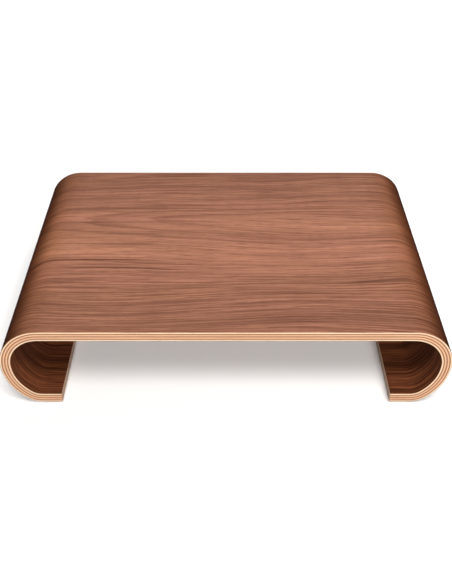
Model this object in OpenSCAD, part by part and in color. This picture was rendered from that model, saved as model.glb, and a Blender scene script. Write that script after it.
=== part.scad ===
// Monitor riser stand: one moulded sheet of laminated wood.
// Seven core plies lie between two walnut face veneers.
// Both ends of the sheet roll down and under, and end in short inward flanges.
// Four thin silicone pads sit under the flanges.
// Units are millimetres. +Z is up, the front edge faces -Y, the width runs along X.
// The origin is on the floor, under the middle of the shelf.

/* [Overall size] */
// width over the widest point of both curls
stand_w = 420; // [380:5:520]
// front to back depth of the sheet
stand_d = 312; // [220:4:340]
// height from the floor to the shelf top, pads included
stand_h = 85; // [83:1:95]

/* [Laminate] */
// thickness of each walnut face veneer
veneer_t = 0.5; // [0.4:0.05:0.8]
// thickness of each of the seven core plies
ply_t = 1.35; // [1.1:0.05:1.5]

/* [Bends] */
// outer radius of the shoulder, where the shelf turns down
shoulder_r = 38; // [34:1:40]
// outer radius of the last turn, where the curl meets the flange
flange_turn_r = 26; // [22:1:30]
// how far each flange end lies inside the widest point of its curl
flange_reach = 54; // [50:1:60]

/* [Foot pads] */
// thickness of each silicone pad
pad_t = 1.2; // [1:0.1:2]
// diameter of each round pad where it sticks to the flange
pad_d = 10; // [8:1:12]
// distance from the front or back edge to the middle of a pad
pad_inset = 18; // [12:1:40]

/* [Hidden] */
shell_h = stand_h - pad_t;
half_w = stand_w / 2;
core_t = 7 * ply_t;
shell_t = core_t + 2 * veneer_t;
// the side arc turns from straight out to this direction, then the tighter turn takes over
join_cos = 0.6;
join_sin = 0.8;
side_r = (shell_h - shoulder_r - flange_turn_r * (1 - join_sin)) / join_sin;
wide_z = stand_h - shoulder_r;
shoulder_x = half_w - shoulder_r;
side_x = half_w - side_r;
turn_x = side_x + (side_r - flange_turn_r) * join_cos;
turn_z = wide_z - (side_r - flange_turn_r) * join_sin;
tip_x = half_w - flange_reach;
pad_x = (tip_x + turn_x) / 2;
// how much narrower a pad is on the floor than where it sticks to the flange
pad_taper = 1.2;
// longer than any bend radius, for cutting rings into arcs
reach = 200;

// ring between two radii
module ring(r_out, r_in) {
  difference() {
    circle(r = r_out, $fn = 180);
    circle(r = r_in, $fn = 180);
  }
}

// shoulder bend: quarter ring from straight up to straight out
module shoulder_arc(a, b) {
  translate([shoulder_x, wide_z]) {
    intersection() {
      ring(shoulder_r - a, shoulder_r - b);
      square([shoulder_r + 1, shoulder_r + 1]);
    }
  }
}

// side bend: ring from straight out down to the join
module side_arc(a, b) {
  translate([side_x, wide_z]) {
    intersection() {
      ring(side_r - a, side_r - b);
      polygon([[0, 0], [reach, 0], [reach * join_cos, -reach * join_sin]]);
    }
  }
}

// last turn: ring from the join round to straight down
module flange_arc(a, b) {
  translate([turn_x, turn_z]) {
    intersection() {
      ring(flange_turn_r - a, flange_turn_r - b);
      polygon([[0, 0], [reach * join_cos, -reach * join_sin], [0, -reach]]);
    }
  }
}

// run a cross-section from the front edge to the back edge
module run_back() {
  translate([0, stand_d / 2, 0]) {
    rotate([90, 0, 0]) {
      linear_extrude(height = stand_d) {
        children();
      }
    }
  }
}

// curl of one layer at the right end, between depths a and b below the outer skin
module curl(a, b) {
  run_back() shoulder_arc(a, b);
  run_back() side_arc(a, b);
  run_back() flange_arc(a, b);
  run_back() translate([tip_x, pad_t + a]) square([turn_x - tip_x, b - a]);
}

// one full layer of the sheet
module layer(a, b) {
  union() {
    run_back() translate([-shoulder_x, stand_h - b]) square([2 * shoulder_x, b - a]);
    curl(a, b);
    mirror([1, 0, 0]) curl(a, b);
  }
}

// core ply number i, counted from the outer skin
module core_ply(i) {
  layer(veneer_t + (i - 1) * ply_t, veneer_t + i * ply_t);
}

// one round self-adhesive silicone pad
module pad(side, way) {
  translate([side * pad_x, way * (stand_d / 2 - pad_inset), 0]) {
    cylinder(h = pad_t, d1 = pad_d - pad_taper, d2 = pad_d, $fn = 72);
  }
}

module outer_face_veneer() {
  color([0.33, 0.18, 0.11]) layer(0, veneer_t);
}

module core_ply_1() {
  color([0.90, 0.74, 0.55]) core_ply(1);
}

module core_ply_2() {
  color([0.66, 0.44, 0.28]) core_ply(2);
}

module core_ply_3() {
  color([0.90, 0.74, 0.55]) core_ply(3);
}

module core_ply_4() {
  color([0.66, 0.44, 0.28]) core_ply(4);
}

module core_ply_5() {
  color([0.90, 0.74, 0.55]) core_ply(5);
}

module core_ply_6() {
  color([0.66, 0.44, 0.28]) core_ply(6);
}

module core_ply_7() {
  color([0.90, 0.74, 0.55]) core_ply(7);
}

module inner_face_veneer() {
  color([0.28, 0.15, 0.09]) layer(shell_t - veneer_t, shell_t);
}

module foot_pad_front_left() {
  color([0.80, 0.80, 0.78]) pad(-1, -1);
}

module foot_pad_front_right() {
  color([0.80, 0.80, 0.78]) pad(1, -1);
}

module foot_pad_rear_left() {
  color([0.80, 0.80, 0.78]) pad(-1, 1);
}

module foot_pad_rear_right() {
  color([0.80, 0.80, 0.78]) pad(1, 1);
}

outer_face_veneer();
core_ply_1();
core_ply_2();
core_ply_3();
core_ply_4();
core_ply_5();
core_ply_6();
core_ply_7();
inner_face_veneer();
foot_pad_front_left();
foot_pad_front_right();
foot_pad_rear_left();
foot_pad_rear_right();
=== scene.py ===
import itertools
import math

import bmesh
import bpy
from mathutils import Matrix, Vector


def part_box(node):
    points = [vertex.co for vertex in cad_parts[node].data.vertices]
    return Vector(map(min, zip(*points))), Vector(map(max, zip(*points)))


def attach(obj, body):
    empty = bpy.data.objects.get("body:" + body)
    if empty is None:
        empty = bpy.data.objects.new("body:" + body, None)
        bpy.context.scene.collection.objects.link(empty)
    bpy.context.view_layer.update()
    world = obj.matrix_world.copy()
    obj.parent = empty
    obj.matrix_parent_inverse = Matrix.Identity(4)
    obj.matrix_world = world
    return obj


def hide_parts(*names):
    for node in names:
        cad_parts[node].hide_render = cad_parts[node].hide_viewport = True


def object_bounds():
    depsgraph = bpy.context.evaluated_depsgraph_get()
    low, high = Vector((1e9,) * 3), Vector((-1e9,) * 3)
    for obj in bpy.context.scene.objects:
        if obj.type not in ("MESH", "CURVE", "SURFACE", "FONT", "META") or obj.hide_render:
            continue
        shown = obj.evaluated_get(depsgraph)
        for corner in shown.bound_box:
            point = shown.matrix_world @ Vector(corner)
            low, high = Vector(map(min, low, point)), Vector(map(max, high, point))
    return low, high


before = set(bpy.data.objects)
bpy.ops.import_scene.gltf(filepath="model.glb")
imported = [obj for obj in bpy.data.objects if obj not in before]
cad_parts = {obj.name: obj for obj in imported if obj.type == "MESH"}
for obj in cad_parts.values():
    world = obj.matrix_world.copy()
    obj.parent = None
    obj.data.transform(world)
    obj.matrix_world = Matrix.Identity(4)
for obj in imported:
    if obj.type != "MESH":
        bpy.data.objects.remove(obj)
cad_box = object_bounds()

scene = bpy.context.scene
scene.view_settings.view_transform = "Standard"
scene.view_settings.look = "None"

# ---------------------------------------------------------------- measures, in metres

box_low, box_high = cad_box
HALF_WIDTH = (box_high[0] - box_low[0]) / 2
HALF_DEPTH = (box_high[1] - box_low[1]) / 2
TOP = box_high[2]

MM = 0.001
VENEER = 0.5 * MM
PLY = 1.35 * MM
PLIES = 7
SHEET = PLIES * PLY + 2 * VENEER
PAD = 1.2 * MM
SHOULDER_R = 38 * MM
TURN_R = 26 * MM
REACH = 54 * MM

# The side arc gives way to the turn at an angle JOIN below the horizontal, in a 3-4-5 direction.
JOIN_COS, JOIN_SIN = 0.6, 0.8
JOIN = math.atan2(JOIN_SIN, JOIN_COS)
QUARTER = math.pi / 2
SIDE_R = (TOP - PAD - SHOULDER_R - TURN_R * (1.0 - JOIN_SIN)) / JOIN_SIN

# Centres of the three arcs on the right, and the inner end of the right flange.
WIDE_Z = TOP - SHOULDER_R
SHOULDER_X = HALF_WIDTH - SHOULDER_R
SIDE_X = HALF_WIDTH - SIDE_R
TURN_X = SIDE_X + (SIDE_R - TURN_R) * JOIN_COS
TURN_Z = WIDE_Z - (SIDE_R - TURN_R) * JOIN_SIN
TIP_X = HALF_WIDTH - REACH

# Running lengths along the outer skin, from the middle of the shelf to a flange's end.
END_SHELF = SHOULDER_X
END_SHOULDER = END_SHELF + SHOULDER_R * QUARTER
END_SIDE = END_SHOULDER + SIDE_R * JOIN
END_TURN = END_SIDE + TURN_R * (QUARTER - JOIN)
END_SHEET = END_TURN + TURN_X - TIP_X

# Mesh rows in each stretch of the right half, with the running length where the stretch ends.
STRETCHES = [(16, END_SHELF), (40, END_SHOULDER), (26, END_SIDE), (18, END_TURN), (5, END_SHEET)]
CELLS_ACROSS = 12
FACE_STEPS = 5
PLY_STEPS = 6

# The sanded corner, and how far and over what depth a cut edge falls back at a glue line.
EASE = 0.9 * MM
GLUE_LINE = 0.035 * MM
GLUE_RIM = 0.09 * MM
SHARP_SHEET = math.radians(28)
SHARP_PAD = math.radians(40)

# ---------------------------------------------------------------- camera

# Worked out from the photograph's converging side edges and the outline of its front edge. The
# lens is in millimetres, for a film that is 36 mm along the picture's longer side.
CAMERA_AHEAD = 0.63418
CAMERA_HEIGHT = 0.57311
CAMERA_TILT = math.radians(34.976)

camera_data = bpy.data.cameras.new("camera")
camera_data.sensor_width = 36.0
camera_data.lens = 54.61274
camera_data.clip_start = 0.02
camera = bpy.data.objects.new("camera", camera_data)
camera.location = (0.0, -(HALF_DEPTH + CAMERA_AHEAD), CAMERA_HEIGHT)
camera.rotation_euler = (QUARTER - CAMERA_TILT, 0.0, 0.0)
scene.collection.objects.link(camera)
scene.camera = camera

# ---------------------------------------------------------------- shapes


def on_arc(x, z, radius, angle):
    """Point on a circle about (x, z), at an angle up from the horizontal."""
    return x + radius * math.cos(angle), z + radius * math.sin(angle)


def place(u, s):
    """Cross-section point at running length u along the outer skin and depth s below it."""
    d = abs(u)
    if d <= END_SHELF:
        x, z = d, TOP - s
    elif d <= END_SHOULDER:
        x, z = on_arc(SHOULDER_X, WIDE_Z, SHOULDER_R - s, QUARTER - (d - END_SHELF) / SHOULDER_R)
    elif d <= END_SIDE:
        x, z = on_arc(SIDE_X, WIDE_Z, SIDE_R - s, -(d - END_SHOULDER) / SIDE_R)
    elif d <= END_TURN:
        x, z = on_arc(TURN_X, TURN_Z, TURN_R - s, -JOIN - (d - END_SIDE) / TURN_R)
    else:
        x, z = TURN_X - (d - END_TURN), PAD + s
    return math.copysign(x, u), z


def eased(s):
    """How far the sanded corner has pulled the edge back at depth s."""
    near = min(s, SHEET - s)
    if near >= EASE:
        return 0.0
    return EASE - math.sqrt(max(EASE * EASE - (EASE - near) ** 2, 0.0))


def stations():
    """Running lengths of the mesh rows on the right half, from the middle outwards."""
    out = []
    start = 0.0
    for count, end in STRETCHES:
        out += [start + i * (end - start) / count for i in range(count)]
        start = end
    return out + [END_SHEET]


def add_piece(name, bm, sharp):
    """Make a smooth-shaded object of the mesh. Edges that turn more than the angle sharp stay sharp."""
    bmesh.ops.recalc_face_normals(bm, faces=bm.faces)
    mesh = bpy.data.meshes.new(name)
    bm.to_mesh(mesh)
    bm.free()
    mesh.shade_smooth()
    mesh.set_sharp_from_angle(angle=sharp)
    piece = bpy.data.objects.new(name, mesh)
    scene.collection.objects.link(piece)
    return piece


def cover(bm, grid, counts):
    """Faces on all six sides of a grid of vertices."""
    for p, q, fixed in ((0, 1, 2), (0, 2, 1), (1, 2, 0)):
        cells = itertools.product(range(counts[p] - 1), range(counts[q] - 1), (0, counts[fixed] - 1))
        for m, n, end in cells:
            quad = []
            for step_m, step_n in ((0, 0), (1, 0), (1, 1), (0, 1)):
                corner = [end, end, end]
                corner[p] = m + step_m
                corner[q] = n + step_n
                quad.append(grid[tuple(corner)])
            bm.faces.new(quad)


def sheet_layer(name, a, b, grooved):
    """One layer of the moulded sheet as a closed solid, from depth a to depth b.

    Each vertex keeps its running length, its place from front to back and its depth in the
    attribute "unroll", so that the materials follow the sheet around its bends. Where grooved,
    the cut edges fall back a little at both glue lines.
    """
    steps = PLY_STEPS if grooved else FACE_STEPS
    depths = [a + (b - a) * k / steps for k in range(steps + 1)]
    if grooved:
        depths = [a, a + GLUE_RIM] + depths[1:-1] + [b - GLUE_RIM, b]
    rows = [-u for u in reversed(stations()[1:])] + stations()
    across = [-1.0 + 2.0 * j / CELLS_ACROSS for j in range(CELLS_ACROSS + 1)]
    last_i, last_j, last_k = len(rows) - 1, len(across) - 1, len(depths) - 1

    bm = bmesh.new()
    unroll = bm.verts.layers.float_vector.new("unroll")
    grid = {}
    for k, s in enumerate(depths):
        pull = eased(s)
        if grooved and k in (0, last_k):
            pull += GLUE_LINE
        for i, u in enumerate(rows):
            if i in (0, last_i):
                u -= math.copysign(pull, u)
            x, z = place(u, s)
            for j, w in enumerate(across):
                if 0 < i < last_i and 0 < j < last_j and 0 < k < last_k:
                    continue
                y = w * (HALF_DEPTH - pull)
                vertex = bm.verts.new((x, y, z))
                vertex[unroll] = (u, y, s)
                grid[i, j, k] = vertex
    cover(bm, grid, (len(rows), len(across), len(depths)))
    return add_piece(name, bm, SHARP_SHEET)


def foot_pad(name, node):
    """Round silicone pad with a hollow underside and a rolled lower edge, turned about its axis."""
    corner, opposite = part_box(node)
    x, y = (corner[0] + opposite[0]) / 2, (corner[1] + opposite[1]) / 2
    r, h = (opposite[0] - corner[0]) / 2, opposite[2] - corner[2]
    roll = 0.35 * h
    tread = 0.88 * r - roll
    roll_steps = 6
    ring = 56

    # Shares of the radius and the height: the underside, then up the flank and over the top.
    underside = [(0.0, 0.10), (0.45, 0.06), (0.62, 0.015), (0.70, 0.0)]
    flank_and_top = [(0.97, 0.90), (0.96, 1.0), (0.0, 1.0)]
    profile = [(share * r, rise * h) for share, rise in underside]
    profile.append((tread, 0.0))
    for k in range(1, roll_steps + 1):
        t = QUARTER * k / roll_steps
        profile.append((tread + roll * math.sin(t), roll - roll * math.cos(t)))
    profile += [(share * r, rise * h) for share, rise in flank_and_top]

    bm = bmesh.new()
    rows = []
    for radius, rise in profile:
        row = []
        for n in range(ring if radius > 0.0 else 1):
            t = 2 * math.pi * n / ring
            row.append(bm.verts.new((x + radius * math.cos(t), y + radius * math.sin(t), corner[2] + rise)))
        rows.append(row)
    for p, q in zip(rows, rows[1:]):
        for n in range(ring):
            m = (n + 1) % ring
            if len(p) == 1:
                bm.faces.new((p[0], q[n], q[m]))
            elif len(q) == 1:
                bm.faces.new((p[n], q[0], p[m]))
            else:
                bm.faces.new((p[n], q[n], q[m], p[m]))
    return add_piece(name, bm, SHARP_PAD)


# ---------------------------------------------------------------- materials


class Graph:
    """Short hands for wiring one material's nodes."""

    def __init__(self, name):
        self.mat = bpy.data.materials.new(name)
        self.mat.use_nodes = True
        self.tree = self.mat.node_tree
        self.tree.nodes.clear()
        self.out = self.add("ShaderNodeOutputMaterial")

    def add(self, kind, **settings):
        node = self.tree.nodes.new(kind)
        for key, value in settings.items():
            setattr(node, key, value)
        return node

    def feed(self, socket, value):
        if isinstance(value, bpy.types.NodeSocket):
            self.tree.links.new(value, socket)
        else:
            socket.default_value = value

    def math(self, op, a, b=0.0, c=0.0, clamp=False):
        node = self.add("ShaderNodeMath", operation=op, use_clamp=clamp)
        for socket, value in zip(node.inputs, (a, b, c)):
            self.feed(socket, value)
        return node.outputs[0]

    def times(self, a, b):
        return self.math("MULTIPLY", a, b)

    def noise(self, vector, scale, seed=0.0, detail=2.0, rough=0.5, seed_across=0.0):
        """Noise with its own frequency on each axis. The seeds shift it along and across."""
        mapping = self.add("ShaderNodeMapping")
        self.feed(mapping.inputs["Vector"], vector)
        mapping.inputs["Scale"].default_value = scale
        mapping.inputs["Location"].default_value = (seed, seed_across, 0.0)
        node = self.add("ShaderNodeTexNoise")
        self.feed(node.inputs["Vector"], mapping.outputs[0])
        node.inputs["Scale"].default_value = 1.0
        node.inputs["Detail"].default_value = detail
        node.inputs["Roughness"].default_value = rough
        return node.outputs["Fac"]

    def ramp(self, value, stops, interpolation="LINEAR"):
        """Colour ramp. Each stop is a place from 0 to 1 with a grey level or a colour."""
        node = self.add("ShaderNodeValToRGB")
        node.color_ramp.interpolation = interpolation
        marks = node.color_ramp.elements
        while len(marks) < len(stops):
            marks.new(0.5)
        for mark, (where, colour) in zip(marks, stops):
            mark.position = where
            grey = isinstance(colour, float)
            mark.color = (colour, colour, colour, 1.0) if grey else (*colour, 1.0)
        self.feed(node.inputs[0], value)
        return node.outputs[0]

    def mix(self, fac, a, b, blend="MIX"):
        node = self.add("ShaderNodeMix", data_type="RGBA", blend_type=blend)
        self.feed(node.inputs[0], fac)
        for socket, value in ((node.inputs[6], a), (node.inputs[7], b)):
            self.feed(socket, value if isinstance(value, bpy.types.NodeSocket) else (*value, 1.0))
        return node.outputs[2]

    def stain(self, tone, stains):
        """Lay colours over a tone, one after another. Each stain is an amount and its colour."""
        for amount, colour in stains:
            tone = self.mix(amount, tone, colour)
        return tone

    def bump(self, height, strength, distance):
        node = self.add("ShaderNodeBump")
        node.inputs["Strength"].default_value = strength
        node.inputs["Distance"].default_value = distance
        self.feed(node.inputs["Height"], height)
        return node.outputs[0]

    def shader(self, colour, rough, normal=None, **fixed):
        node = self.add("ShaderNodeBsdfPrincipled")
        self.feed(node.inputs["Base Color"], colour)
        self.feed(node.inputs["Roughness"], rough)
        if normal is not None:
            self.feed(node.inputs["Normal"], normal)
        for key, value in fixed.items():
            node.inputs[key.replace("_", " ")].default_value = value
        self.tree.links.new(node.outputs[0], self.out.inputs["Surface"])
        return self.mat


def unrolled(g):
    """Running length, place from front to back and depth, as sheet_layer stored them."""
    node = g.add("ShaderNodeAttribute", attribute_name="unroll", attribute_type="GEOMETRY")
    return node.outputs["Vector"]


RING_WIDTH = 0.0105
BOLD_RING = 3.0
LEAST_CUT = 0.002
DRIFT = 0.040

# Running lengths from 0.10 to 0.30 m fill a colour ramp, and so does the sheet from front to back.
ALONG_GAIN, ALONG_SHIFT = 5.0, -0.5
ACROSS_GAIN, ACROSS_SHIFT = 3.2, 0.5

# Painted sheen and shade on the walnut from the front edge to the back edge: brighter across the middle,
# where the lamps' broad sheen lies, and darker towards both edges. Then the strength of its dark streaks,
# from the front edge to the back edge.
PAINTED_SHEEN_BELT = [(0.02, 0.80), (0.17, 0.88), (0.40, 1.04), (0.62, 1.04), (0.80, 0.92), (0.98, 0.86)]
BUSY = [(0.0, 1.0), (0.27, 1.0), (0.42, 0.60), (0.70, 0.60), (0.86, 1.0)]
# Slow change of hue in patches, from pinkish to yellowish.
HUES = [(0.34, (1.0, 0.99, 1.03)), (0.50, (1.0, 1.0, 1.0)), (0.66, (1.0, 1.03, 0.95))]
# What the dark colour is multiplied by for the deepest lines and the pores.
DEEPER = (0.50, 0.46, 0.44)

# Painted shade: the bends are darker and browner than the shelf in the colour itself, in place of the shade
# that falls on them where they turn away from the lamps. They are also rougher.
BEND_PAINTED_SHADE = [
    (END_SHELF - 0.012, (1.0, 1.0, 1.0)),
    (END_SHELF + 0.012, (0.84, 0.78, 0.69)),
    (END_SHELF + 0.024, (0.45, 0.34, 0.21)),
    (END_SHELF + 0.035, (0.19, 0.090, 0.020)),
    (END_SHOULDER, (0.22, 0.12, 0.045)),
    (END_SHOULDER + 0.03, (0.34, 0.24, 0.14)),
]
BEND_ROUGHNESS = [(END_SHELF, 0.0), (END_SHELF + 0.028, 0.42)]


def ramp_along(stops):
    """The same stops, with running lengths turned into places on a colour ramp."""
    return [(ALONG_GAIN * d + ALONG_SHIFT, value) for d, value in stops]


def late_wood(g, at, u, off, seed, heart, lean):
    """Dark part of each growth ring. The rings are cut at a slant, so they close in a point."""
    cut = g.math("MAXIMUM", g.math("MULTIPLY_ADD", u, lean, heart), LEAST_CUT)
    radius = g.math("SQRT", g.math("ADD", g.times(off, off), g.times(cut, cut)))
    ripple = g.noise(at, (8.0, 55.0, 0.0), seed + 5.0, 3.0, 0.55)
    wander = g.math("MULTIPLY_ADD", ripple, 1.1, 0.41)
    rings = g.math("ADD", g.math("DIVIDE", radius, RING_WIDTH), wander)
    number = g.math("FLOOR", rings)
    chance = g.add("ShaderNodeTexWhiteNoise", noise_dimensions="1D")
    g.feed(chance.inputs["W"], g.math("ADD", number, seed))
    bold = g.math("MAXIMUM", chance.outputs["Value"], g.math("COMPARE", number, BOLD_RING, 0.2))
    stops = [(0.0, 0.10), (0.40, 0.22), (0.90, 1.0), (1.0, 0.10)]
    return g.times(g.ramp(g.math("FRACT", rings), stops, "EASE"), g.math("POWER", bold, 0.9))


def walnut(name, seed, centre, heart, lean, light, middle, dark, bends):
    """Plain-sliced walnut veneer.

    The growth rings are centred a distance centre behind the middle of the sheet. heart is how
    far below the cut the tree's heart lies there, and lean is how that changes along the sheet.
    """
    g = Graph(name)
    at = unrolled(g)
    split = g.add("ShaderNodeSeparateXYZ")
    g.feed(split.inputs[0], at)
    u, v, depth = split.outputs
    drift = g.noise(at, (3.4, 8.0, 0.0), seed, 1.0)
    v_bent = g.math("ADD", v, g.times(g.math("SUBTRACT", drift, 0.5), DRIFT))
    joined = g.add("ShaderNodeCombineXYZ")
    for socket, value in zip(joined.inputs, (u, v_bent, depth)):
        g.feed(socket, value)
    bent = joined.outputs[0]
    across = g.math("MULTIPLY_ADD", v_bent, ACROSS_GAIN, ACROSS_SHIFT)

    patch = g.noise(at, (4.0, 24.0, 0.0), seed + 9.0, seed_across=3.0)
    patchy = g.ramp(patch, [(0.38, 0.30), (0.62, 1.0)])
    busy = g.ramp(across, BUSY)
    off = g.math("SUBTRACT", v_bent, centre)
    late = g.times(late_wood(g, at, u, off, seed, heart, lean), patchy)

    band = g.noise(bent, (1.5, 46.0, 0.0), seed + 2.0, 3.0, 0.55)
    streak = g.noise(bent, (4.8, 380.0, 90.0), seed + 3.0, 4.0, 0.72)
    fibre = g.noise(bent, (38.0, 1500.0, 700.0), seed + 4.0, 3.0, 0.6)
    pore = g.noise(bent, (95.0, 2600.0, 900.0), seed + 6.0, 1.0, 0.4)
    dash = g.noise(bent, (34.0, 1050.0, 300.0), seed + 7.0, 1.0)
    line = g.noise(bent, (4.0, 230.0, 0.0), seed + 8.0, 1.0)
    thread = g.noise(bent, (10.0, 640.0, 160.0), seed + 10.0, 2.0, 0.6)
    hue = g.noise(bent, (2.2, 30.0, 0.0), seed + 12.0)
    pores = g.ramp(pore, [(0.30, 1.0), (0.40, 0.0)])
    deep = tuple(level * share for level, share in zip(dark, DEEPER))

    tone = g.ramp(band, [(0.30, dark), (0.42, middle), (0.55, light), (0.70, middle)])
    tone = g.mix(0.45, tone, light)
    tone = g.mix(1.0, tone, g.ramp(hue, HUES), "MULTIPLY")
    tone = g.stain(tone, [
        (g.times(late, 0.72), dark),
        (g.times(g.ramp(streak, [(0.32, 1.0), (0.44, 0.50), (0.57, 0.0)]), busy), dark),
        (g.times(g.ramp(thread, [(0.36, 0.95), (0.53, 0.0)]), busy), dark),
        (g.times(g.ramp(line, [(0.27, 0.85), (0.36, 0.0)]), patchy), deep),
        (g.ramp(dash, [(0.28, 0.62), (0.42, 0.0)]), deep),
        (g.times(g.ramp(fibre, [(0.34, 1.0), (0.60, 0.0)]), 0.40), dark),
        (g.times(pores, 0.45), deep),
    ])
    rough = g.math("MULTIPLY_ADD", streak, 0.16, 0.48)
    if bends:
        along = g.math("MULTIPLY_ADD", g.math("ABSOLUTE", u), ALONG_GAIN, ALONG_SHIFT)
        # Painted shade: darken the colour over the bends, by running length.
        tone = g.mix(1.0, tone, g.ramp(along, ramp_along(BEND_PAINTED_SHADE)), "MULTIPLY")
        rough = g.math("ADD", rough, g.ramp(along, ramp_along(BEND_ROUGHNESS)), clamp=True)
    # Painted sheen across the middle of the sheet and painted shade towards its front and back edges.
    tone = g.mix(1.0, tone, g.ramp(across, PAINTED_SHEEN_BELT), "MULTIPLY")

    relief = g.math("ADD", g.times(pores, -0.7), g.times(fibre, 0.5))
    return g.shader(tone, rough, g.bump(relief, 0.35, 0.00012), Specular_IOR_Level=0.035)


def core(name, scale, seed, light, dark, pore_tone):
    """Pale core veneer. scale holds the grain's frequency along, across and through the sheet."""
    g = Graph(name)
    at = unrolled(g)
    grain = g.noise(at, scale, seed, 4.0, 0.62, seed_across=seed)
    slow = g.noise(at, (6.0, 6.0, 160.0), seed + 7.0)
    patch = g.noise(at, (16.0, 16.0, 700.0), seed + 11.0)
    pore = g.noise(at, tuple(2.6 * k for k in scale), 0.0, 1.0, 0.4, seed_across=seed + 3.0)
    pores = g.ramp(pore, [(0.30, 1.0), (0.41, 0.0)])
    tone = g.mix(g.ramp(grain, [(0.28, 0.0), (0.72, 1.0)]), dark, light)
    tone = g.stain(tone, [
        (g.ramp(slow, [(0.34, 0.40), (0.62, 0.0)]), dark),
        (g.ramp(patch, [(0.36, 0.50), (0.54, 0.0)]), dark),
        (g.times(pores, 0.5), pore_tone),
    ])
    rough = g.math("MULTIPLY_ADD", grain, 0.18, 0.42)
    relief = g.math("SUBTRACT", grain, pores)
    return g.shader(tone, rough, g.bump(relief, 0.3, 0.0001), Specular_IOR_Level=0.4)


def silicone(name):
    """Clear, slightly cloudy silicone."""
    g = Graph(name)
    where = g.add("ShaderNodeTexCoord").outputs["Object"]
    fine = g.noise(where, (1800.0, 1800.0, 1800.0), detail=3.0, rough=0.6)
    cloud = g.noise(where, (240.0, 240.0, 240.0))
    tone = g.mix(cloud, (0.62, 0.62, 0.60), (0.80, 0.80, 0.78))
    rough = g.math("MULTIPLY_ADD", fine, 0.2, 0.38)
    return g.shader(tone, rough, g.bump(fine, 0.4, 0.00008), Transmission_Weight=0.35, IOR=1.41)


def studio_paper(name):
    """White paper under and around the stand."""
    g = Graph(name)
    where = g.add("ShaderNodeTexCoord").outputs["Object"]
    mottle = g.noise(where, (300.0, 300.0, 300.0))
    tone = g.mix(mottle, (0.86, 0.86, 0.86), (0.88, 0.88, 0.88))
    return g.shader(tone, 0.85, Specular_IOR_Level=0.1)


outer_walnut = walnut(
    "walnut_outer", seed=11.0, centre=0.040, heart=0.0122, lean=-0.12,
    light=(0.408, 0.178, 0.110), middle=(0.300, 0.131, 0.082), dark=(0.150, 0.057, 0.033), bends=True)
# Painted shade: the inner face is a darker copy of the same walnut, in place of the shade inside the curls
# and under the shelf.
shaded_inner_walnut = walnut(
    "walnut_inner_shaded", seed=47.0, centre=-0.055, heart=0.030, lean=0.030,
    light=(0.240, 0.078, 0.032), middle=(0.145, 0.043, 0.017), dark=(0.046, 0.013, 0.0055), bends=False)

LONG = (22.0, 420.0, 1400.0)
CROSS = (520.0, 18.0, 1500.0)
long_grain = core(
    "core_long_grain", LONG, seed=3.0,
    light=(0.505, 0.305, 0.180), dark=(0.385, 0.215, 0.118), pore_tone=(0.26, 0.12, 0.055))
long_grain_face = core(
    "core_long_grain_face", LONG, seed=19.0,
    light=(0.545, 0.415, 0.285), dark=(0.425, 0.29, 0.185), pore_tone=(0.28, 0.16, 0.085))
cross_grain = core(
    "core_cross_grain", CROSS, seed=31.0,
    light=(0.225, 0.100, 0.048), dark=(0.150, 0.062, 0.029), pore_tone=(0.095, 0.037, 0.016))
clear_silicone = silicone("silicone_pad")

# ---------------------------------------------------------------- pieces


def finish_piece(piece, node, material):
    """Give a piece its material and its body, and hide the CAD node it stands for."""
    piece.data.materials.append(material)
    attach(piece, "root")
    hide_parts(node)


outer_face = sheet_layer("walnut_face_outer", 0.0, VENEER, False)
finish_piece(outer_face, "outer_face_veneer", outer_walnut)

# The grain of odd plies runs along the stand and that of even ones from front to back. The two
# plies next to the walnut are creamier.
for n in range(1, PLIES + 1):
    start = VENEER + (n - 1) * PLY
    ply = sheet_layer("core_veneer_%d" % n, start, start + PLY, True)
    if n % 2 == 0:
        finish_piece(ply, "core_ply_%d" % n, cross_grain)
    elif n in (1, PLIES):
        finish_piece(ply, "core_ply_%d" % n, long_grain_face)
    else:
        finish_piece(ply, "core_ply_%d" % n, long_grain)

inner_face = sheet_layer("walnut_face_inner", SHEET - VENEER, SHEET, False)
finish_piece(inner_face, "inner_face_veneer", shaded_inner_walnut)

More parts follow.
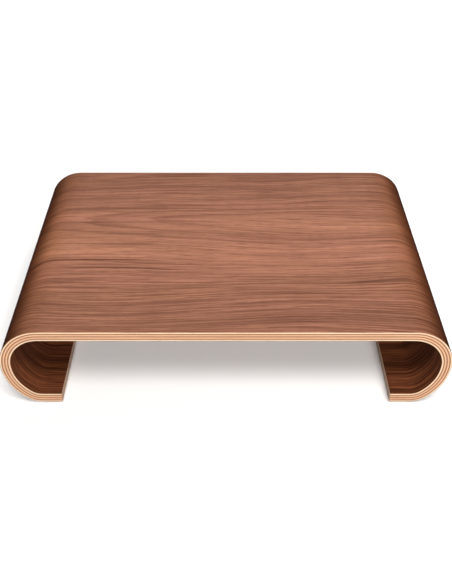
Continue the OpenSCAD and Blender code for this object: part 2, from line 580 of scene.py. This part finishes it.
for where in ("front_left", "front_right", "rear_left", "rear_right"):
    node = "foot_pad_" + where
    finish_piece(foot_pad("silicone_pad_" + where, node), node, clear_silicone)

# ---------------------------------------------------------------- floor and light

FLOOR_HALF = 6.0
WHITE = (1.0, 1.0, 1.0)
STAND_MIDDLE = (0.0, 0.0, 0.05)

floor_mesh = bpy.data.meshes.new("floor")
floor_bm = bmesh.new()
bmesh.ops.create_grid(floor_bm, x_segments=1, y_segments=1, size=FLOOR_HALF)
floor_bm.to_mesh(floor_mesh)
floor_bm.free()
floor_mesh.materials.append(studio_paper("studio_floor"))
floor = bpy.data.objects.new("floor", floor_mesh)
scene.collection.objects.link(floor)


def area_light(name, where, target, size, power, colour):
    """Rectangular lamp that faces a target."""
    data = bpy.data.lights.new(name, "AREA")
    data.shape = "RECTANGLE"
    data.size, data.size_y = size
    data.energy = power
    data.color = colour
    lamp = bpy.data.objects.new(name, data)
    lamp.location = where
    lamp.rotation_euler = (Vector(target) - Vector(where)).to_track_quat("-Z", "Y").to_euler()
    scene.collection.objects.link(lamp)


# Key, fill and back light for the stand, then washes that keep the floor around it white.
area_light("key_softbox", (0.30, -0.95, 1.5), (0.0, -0.05, 0.05), (1.2, 0.6), 24.0, (1.0, 0.98, 0.955))
area_light("front_fill", (0.25, -2.2, 0.95), STAND_MIDDLE, (1.4, 0.8), 71.0, (1.0, 0.98, 0.96))
area_light("back_softbox", (0.0, 2.5, 1.65), STAND_MIDDLE, (1.8, 0.6), 10.0, (1.0, 0.985, 0.97))
area_light("backdrop_wash", (0.0, 2.2, 2.2), (0.0, 2.6, 0.0), (3.0, 2.0), 110.0, WHITE)
for name, side in (("side_wash_left", -1.0), ("side_wash_right", 1.0)):
    area_light(name, (side * 3.4, 0.0, 2.2), (side * 5.0, 0.0, 0.0), (3.0, 3.0), 170.0, WHITE)

world = bpy.data.worlds.new("studio")
world.use_nodes = True
background = world.node_tree.nodes["Background"]
background.inputs["Color"].default_value = (*WHITE, 1.0)
background.inputs["Strength"].default_value = 0.04
scene.world = world
